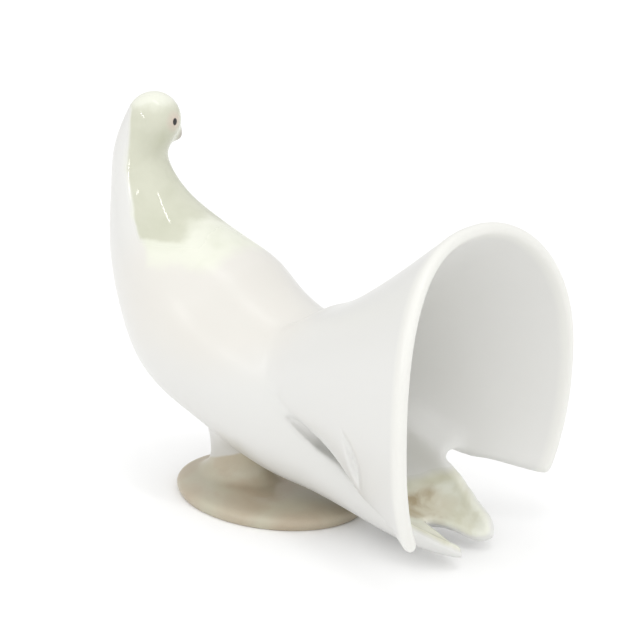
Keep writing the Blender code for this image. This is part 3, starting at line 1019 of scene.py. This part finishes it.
# %% Group: clouded stain
def clouded_stain():
    group, given, result = new_group(
        "clouded_stain",
        [
            ("Position", "Vector", None),
            ("Light Shade", "Color", (0.8, 0.8, 0.7, 1.0)),
            ("Middle Shade", "Color", (0.7, 0.7, 0.6, 1.0)),
            ("Deep Shade", "Color", (0.5, 0.5, 0.4, 1.0)),
            ("Cloud Scale", "Float", 60.0),
            ("Grain", "Float", 0.1),
        ],
        [("Colour", "Color")],
    )
    where = given["Position"]
    broad = put(
        group, "ShaderNodeTexNoise", Vector=where, Scale=given["Cloud Scale"],
        Detail=3.0, Roughness=0.5, Distortion=0.6,
    ).outputs[0]
    low = put(group, "ShaderNodeMapRange", Value=broad, From_Min=0.35, From_Max=0.55)
    high = put(group, "ShaderNodeMapRange", Value=broad, From_Min=0.50, From_Max=0.70)
    shade = mix_colour(group, low.outputs[0], given["Deep Shade"], given["Middle Shade"])
    shade = mix_colour(group, high.outputs[0], shade, given["Light Shade"])
    fine = put(group, "ShaderNodeTexNoise", Vector=where, Scale=2600.0, Detail=2.0, Roughness=0.6)
    grain = math_node(group, "SUBTRACT", fine.outputs[0], 0.5)
    grain = math_node(group, "MULTIPLY", grain, given["Grain"])
    grain = math_node(group, "ADD", grain, 1.0)
    feed(group, result["Colour"], vector_node(group, "SCALE", shade, grain))
    return group


CLOUDED_STAIN = clouded_stain()
print("group", CLOUDED_STAIN.name)

# %% [markdown]
# The eye is a touch of black with a rosy ring, painted and not raised. A group
# measures how far a point is from the eye's middle, across and up, and gives a
# mask for an oval. It is placed once for each side of the head.

# %% Group: painted oval
def painted_oval():
    group, given, result = new_group(
        "painted_oval",
        [
            ("Position", "Vector", None),
            ("Middle", "Vector", (0.0, 0.0, 0.0)),
            ("Radius", "Float", 0.001),
            ("Flatten", "Vector", (1.0, 1.0, 1.0)),
            ("Blur", "Float", 0.15),
        ],
        [("Mask", "Float")],
    )
    offset = vector_node(group, "SUBTRACT", given["Position"], given["Middle"])
    offset = vector_node(group, "MULTIPLY", offset, given["Flatten"])
    reach = math_node(group, "DIVIDE", vector_node(group, "LENGTH", offset), given["Radius"])
    edge = math_node(group, "DIVIDE", math_node(group, "SUBTRACT", 1.0, reach), given["Blur"])
    feed(group, result["Mask"], math_node(group, "ADD", edge, 0.5, clamp=True))
    return group


PAINTED_OVAL = painted_oval()
print("group", PAINTED_OVAL.name)

# %% [markdown]
# A glaze is glass: it flows, and it is never quite flat. The fourth group gives
# the height of its slow waves and of a few pinholes, and a mask of the dark
# specks that the pinholes leave.

# %% Group: glaze surface
def glaze_surface():
    group, given, result = new_group(
        "glaze_surface",
        [
            ("Position", "Vector", None),
            ("Wave Scale", "Float", 140.0),
            ("Pinhole Scale", "Float", 90.0),
        ],
        [("Height", "Float"), ("Specks", "Float")],
    )
    where = given["Position"]
    wave = put(
        group, "ShaderNodeTexNoise", Vector=where, Scale=given["Wave Scale"], Detail=2.0, Roughness=0.4
    )
    holes = put(group, "ShaderNodeTexVoronoi", Vector=where, Scale=given["Pinhole Scale"])
    near = holes.outputs["Distance"]
    small = put(group, "ShaderNodeMapRange", Value=near, From_Min=0.055, From_Max=0.025)
    pick = put(group, "ShaderNodeSeparateColor", Color=holes.outputs["Color"])
    rare = math_node(group, "GREATER_THAN", pick.outputs[0], 0.86)
    specks = math_node(group, "MULTIPLY", small.outputs[0], rare)
    feed(group, result["Specks"], specks)
    sunk = math_node(group, "MULTIPLY", specks, -0.5)
    feed(group, result["Height"], math_node(group, "ADD", wave.outputs[0], sunk))
    return group


GLAZE_SURFACE = glaze_surface()
print("group", GLAZE_SURFACE.name)

# %% [markdown]
# The palette: a warm white body, celadon, the brown stain of tail and foot, and
# the painter's beak and eyes. Grey painted as shade in the slot and on the stem,
# and a lighter white painted as the highlight along the fan's lip, go with them.
# Each tint is a few shades of one colour. The clear glaze is thin and soft on the
# white and glassy where it pools on a tint.

# %% Colours
WHITE_BODY = (0.685, 0.683, 0.661, 1.0)
WARM_BODY = (0.685, 0.667, 0.624, 1.0)
# Painted highlight: a lighter white along the fan's lip
RIM_PAINTED_HIGHLIGHT = (0.745, 0.743, 0.705, 1.0)
CELADON_LIGHT = (0.625, 0.632, 0.520, 1.0)
CELADON_MIDDLE = (0.575, 0.582, 0.475, 1.0)
CELADON_DEEP = (0.530, 0.540, 0.430, 1.0)
WASH_LIGHT = (0.725, 0.735, 0.640, 1.0)
WASH_DEEP = (0.670, 0.685, 0.580, 1.0)
PRONG_LIGHT = (0.800, 0.810, 0.725, 1.0)
PRONG_MIDDLE = (0.745, 0.750, 0.645, 1.0)
PRONG_DEEP = (0.630, 0.620, 0.490, 1.0)
POOL_LIGHT = (0.710, 0.685, 0.565, 1.0)
POOL_MIDDLE = (0.630, 0.585, 0.450, 1.0)
POOL_DEEP = (0.450, 0.370, 0.245, 1.0)
FOOT_LIGHT = (0.480, 0.460, 0.355, 1.0)
FOOT_MIDDLE = (0.475, 0.430, 0.330, 1.0)
FOOT_DEEP = (0.440, 0.370, 0.275, 1.0)
# Painted shade: grey on the stem where the belly shades it
STEM_PAINTED_SHADE = (0.560, 0.550, 0.515, 1.0)
# Painted shade: grey in the slot under the wing's lower edge
SLOT_PAINTED_SHADE = (0.560, 0.560, 0.535, 1.0)
BEAK_TAUPE = (0.330, 0.290, 0.240, 1.0)
EYE_RING = (0.620, 0.480, 0.420, 1.0)
EYE_BLACK = (0.012, 0.010, 0.010, 1.0)
# Gloss of the thin clear glaze, and of the glaze pooled over the tints
BODY_ROUGHNESS = 0.30
POOLED_ROUGHNESS = 0.06
WAVE_STRENGTH = 0.12
WAVE_HEIGHT = 0.0004
SPECK_STRENGTH = 0.35

HEAD_MIDDLE = np.array(TRUNK[-1][:3])
HEAD_TURN = math.radians(BEAK_TURN)
HEAD_FACING = np.array([-math.sin(HEAD_TURN), -math.cos(HEAD_TURN), 0.0])
HEAD_SIDE = np.array([-HEAD_FACING[1], HEAD_FACING[0], 0.0])
EYE_FORWARD = 2.5
EYE_OUT = 6.7
EYE_UP = 0.1
EYE_RADIUS = 0.0011
EYE_FLATTEN = (1.0, 1.0, 0.85)
RING_RADIUS = 0.0031
RING_STRENGTH = 0.55
BEAK_RADIUS = 0.0040
BEAK_TINT_UP = 1.3


def in_metres(place):
    """From hundredths of the height to metres."""
    return tuple(float(v) for v in (np.asarray(place) - (0.0, 0.0, TABLE)) * SHARE)


EYES = [
    in_metres(HEAD_MIDDLE + HEAD_FACING * EYE_FORWARD + HEAD_SIDE * EYE_OUT * way + (0.0, 0.0, EYE_UP))
    for way in (1.0, -1.0)
]
BEAK_TIP = in_metres(HEAD_MIDDLE + HEAD_FACING * BEAK_REACH - (0.0, 0.0, BEAK_DROP - BEAK_TINT_UP))
print("eyes at", [tuple(round(v, 4) for v in eye) for eye in EYES])

# %% [markdown]
# The porcelain itself. The colours go on in the order of the workshop: white
# body, celadon, brown stain in the tail and on the foot, beak, and eyes last.
# One material carries them all, because the glaze runs over them without a seam.

# %% Glazed porcelain
def placed(tree, group, **values):
    """Place a node group with its own values."""
    node = put(tree, "ShaderNodeGroup", node_tree=group)
    for name, value in values.items():
        feed(tree, node.inputs[name.replace("_", " ")], value)
    return node.outputs


def glazed_porcelain():
    look = bpy.data.materials.new("glazed_porcelain")
    look.use_nodes = True
    tree = look.node_tree
    shader = tree.nodes["Principled BSDF"]
    where = tree.nodes.new("ShaderNodeTexCoord").outputs["Object"]

    def stained(light, middle, deep, scale, grain):
        return placed(
            tree, CLOUDED_STAIN, Position=where, Light_Shade=light, Middle_Shade=middle,
            Deep_Shade=deep, Cloud_Scale=scale, Grain=grain,
        )[0]

    def within(name, shift, wander, softness, scale):
        stored = put(tree, "ShaderNodeAttribute", attribute_name=name).outputs["Fac"]
        return placed(
            tree, RAGGED_EDGE, Depth=math_node(tree, "ADD", stored, shift), Position=where,
            Wander=wander, Softness=softness, Brush_Scale=scale,
        )[0]

    colour = mix_colour(tree, within("warm_depth", 0.0, 3.0, 9.0, 35.0), WHITE_BODY, WARM_BODY)
    # Painted highlight: a lighter white along the fan's lip
    colour = mix_colour(tree, within("rim_highlight_depth", 0.0, 0.4, 2.0, 60.0), colour, RIM_PAINTED_HIGHLIGHT)
    # Painted shade: grey in the slot under the wing's lower edge
    colour = mix_colour(tree, within("slot_shade_depth", 0.0, 0.2, 1.2, 120.0), colour, SLOT_PAINTED_SHADE)

    on_back = within("wash_depth", 0.0, 2.2, 3.5, 80.0)
    wash = stained(WASH_LIGHT, WASH_LIGHT, WASH_DEEP, 60.0, 0.02)
    colour = mix_colour(tree, on_back, colour, wash)
    on_neck = within("column_depth", 0.0, 0.9, 1.2, 90.0)
    celadon = stained(CELADON_MIDDLE, CELADON_MIDDLE, CELADON_DEEP, 55.0, 0.02)
    celadon = mix_colour(tree, within("column_depth", -6.5, 2.0, 7.0, 60.0), celadon, CELADON_LIGHT)
    colour = mix_colour(tree, on_neck, colour, celadon)

    in_scoop = within("scoop_depth", 0.0, 1.4, 3.2, 120.0)
    pool = stained(POOL_LIGHT, POOL_MIDDLE, POOL_DEEP, 95.0, 0.06)
    prong = stained(PRONG_LIGHT, PRONG_MIDDLE, PRONG_DEEP, 75.0, 0.04)
    stain = mix_colour(tree, within("brown_depth", 0.0, 3.0, 4.5, 110.0), prong, pool)
    colour = mix_colour(tree, in_scoop, colour, stain)

    # Painted shade: a grey band on the stem under the belly, above its taupe start
    colour = mix_colour(tree, within("foot_depth", 4.5, 0.5, 7.0, 60.0), colour, STEM_PAINTED_SHADE)
    on_foot = within("foot_depth", 0.0, 0.4, 0.9, 90.0)
    foot = stained(FOOT_LIGHT, FOOT_MIDDLE, FOOT_DEEP, 45.0, 0.16)
    colour = mix_colour(tree, on_foot, colour, foot)

    def painted(middle, radius, blur, **more):
        return placed(tree, PAINTED_OVAL, Position=where, Middle=middle, Radius=radius, Blur=blur, **more)[0]

    colour = mix_colour(tree, painted(BEAK_TIP, BEAK_RADIUS, 0.7), colour, BEAK_TAUPE)
    for eye in EYES:
        faint = math_node(tree, "MULTIPLY", painted(eye, RING_RADIUS, 0.9), RING_STRENGTH)
        colour = mix_colour(tree, faint, colour, EYE_RING)
        black = painted(eye, EYE_RADIUS, 0.25, Flatten=EYE_FLATTEN)
        colour = mix_colour(tree, black, colour, EYE_BLACK)

    surface = placed(tree, GLAZE_SURFACE, Position=where)
    specks = math_node(tree, "MULTIPLY", surface["Specks"], SPECK_STRENGTH)
    colour = mix_colour(tree, specks, colour, POOL_DEEP)
    feed(tree, shader.inputs["Base Color"], colour)
    bump = put(
        tree, "ShaderNodeBump", Height=surface["Height"], Strength=WAVE_STRENGTH, Distance=WAVE_HEIGHT
    )
    feed(tree, shader.inputs["Normal"], bump.outputs[0])

    pooled = math_node(tree, "MAXIMUM", within("column_depth", 0.5, 0.9, 1.8, 90.0), in_scoop)
    gloss = math_node(tree, "MULTIPLY_ADD", pooled, POOLED_ROUGHNESS - BODY_ROUGHNESS, BODY_ROUGHNESS)
    feed(tree, shader.inputs["Roughness"], gloss)
    shader.inputs["IOR"].default_value = 1.52
    shader.inputs["Specular IOR Level"].default_value = 0.42
    return look


figurine_mesh.materials.clear()
figurine_mesh.materials.append(glazed_porcelain())
print("material", figurine_mesh.materials[0].name)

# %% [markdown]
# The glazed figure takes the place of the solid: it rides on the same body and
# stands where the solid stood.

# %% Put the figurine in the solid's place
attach(figurine, "root")
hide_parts("dove_figurine")

# %% [markdown]
# The setting is a light tent: a pale floor that runs out of view and a bright,
# even sky. It keeps the whites high and the shadows thin.

# %% Floor and tent light
BRIGHT_SIDE = (0.30, 0.55, 0.78)
TENT_MEAN = 0.90
TENT_SLOPE = 0.45
FLOOR_RADIUS = 6.0
FLOOR_WHITE = (0.96, 0.96, 0.96, 1.0)
FLOOR_HEIGHT = -0.0002


def pale_floor():
    bpy.ops.mesh.primitive_circle_add(
        vertices=96, radius=FLOOR_RADIUS, fill_type="NGON", location=(0.0, 0.0, FLOOR_HEIGHT)
    )
    made = bpy.context.object
    made.name = "pale_floor"
    look = bpy.data.materials.new("pale_floor")
    look.use_nodes = True
    shader = look.node_tree.nodes["Principled BSDF"]
    shader.inputs["Base Color"].default_value = FLOOR_WHITE
    shader.inputs["Roughness"].default_value = 0.9
    shader.inputs["Specular IOR Level"].default_value = 0.1
    made.data.materials.append(look)


pale_floor()
tent = bpy.data.worlds.new("tent")
bpy.context.scene.world = tent
tent.use_nodes = True
tent_tree = tent.node_tree
tent_light = tent_tree.nodes["Background"]
tent_light.inputs["Color"].default_value = (1.0, 1.0, 1.0, 1.0)
way_out = tent_tree.nodes.new("ShaderNodeTexCoord").outputs["Generated"]
looking = vector_node(tent_tree, "DOT_PRODUCT", way_out, BRIGHT_SIDE)
brightness = math_node(tent_tree, "MULTIPLY_ADD", looking, TENT_SLOPE, TENT_MEAN)
feed(tent_tree, tent_light.inputs["Strength"], brightness)
bpy.context.scene.view_settings.view_transform = "Standard"
print("tent from", round(TENT_MEAN - TENT_SLOPE, 2), "to", round(TENT_MEAN + TENT_SLOPE, 2))

# %% [markdown]
# Bare tubes do the rest. Each is thin, so it hardly lights the piece, but the
# pooled glaze shows it as a bright line. A tube is given by the two directions
# its ends are seen in from the figure, which is how its reflection is placed.

# %% Tubes
TUBE_DISTANCE = 1.3
TUBE_AIM = (0.0, 0.01, 0.09)


def lamp_tube(name, first, last, thickness, watts):
    """A thin rectangular lamp between two directions seen from the figure."""
    first, last = (Vector(way).normalized() * TUBE_DISTANCE for way in (first, last))
    middle = (first + last) / 2.0
    data = bpy.data.lights.new(name, "AREA")
    data.shape = "RECTANGLE"
    data.size = (last - first).length
    data.size_y = thickness
    data.energy = watts
    made = bpy.data.objects.new(name, data)
    bpy.context.scene.collection.objects.link(made)
    along = (last - first).normalized()
    away = middle.normalized()
    across = away.cross(along).normalized()
    frame_of_tube = Matrix((along, across, along.cross(across))).transposed()
    made.location = Vector(TUBE_AIM) + middle
    made.rotation_mode = "QUATERNION"
    made.rotation_quaternion = frame_of_tube.to_quaternion()


lamp_tube("neck_tube", (0.97, -0.08, 0.24), (0.78, -0.42, 0.47), 0.035, 1.2)
lamp_tube("roof_tube", (0.05, -0.12, 0.99), (0.06, 0.40, 0.91), 0.045, 1.2)
lamp_tube("tail_tube", (0.77, -0.12, 0.62), (0.74, 0.02, 0.67), 0.03, 0.2)

# %% [markdown]
# The camera stands behind the bird's left side, a little above it, with a long
# lens as in the photograph.

# %% Camera
VIEW_FROM = (0.7464, 0.5895, 0.3090)
VIEW_AIM = (0.0, 0.02216, 0.07018)
VIEW_DISTANCE = 0.58159
LENS = 95.96


def camera():
    data = bpy.data.cameras.new("camera")
    data.sensor_width = 36.0
    data.lens = LENS
    data.clip_start = 0.01
    data.clip_end = 20.0
    made = bpy.data.objects.new("camera", data)
    bpy.context.scene.collection.objects.link(made)
    way = Vector(VIEW_FROM).normalized()
    made.location = Vector(VIEW_AIM) + way * VIEW_DISTANCE
    made.rotation_mode = "QUATERNION"
    made.rotation_quaternion = (-way).to_track_quat("-Z", "Y")
    bpy.context.scene.camera = made
    return made


print("camera at", [round(v, 3) for v in camera().location])
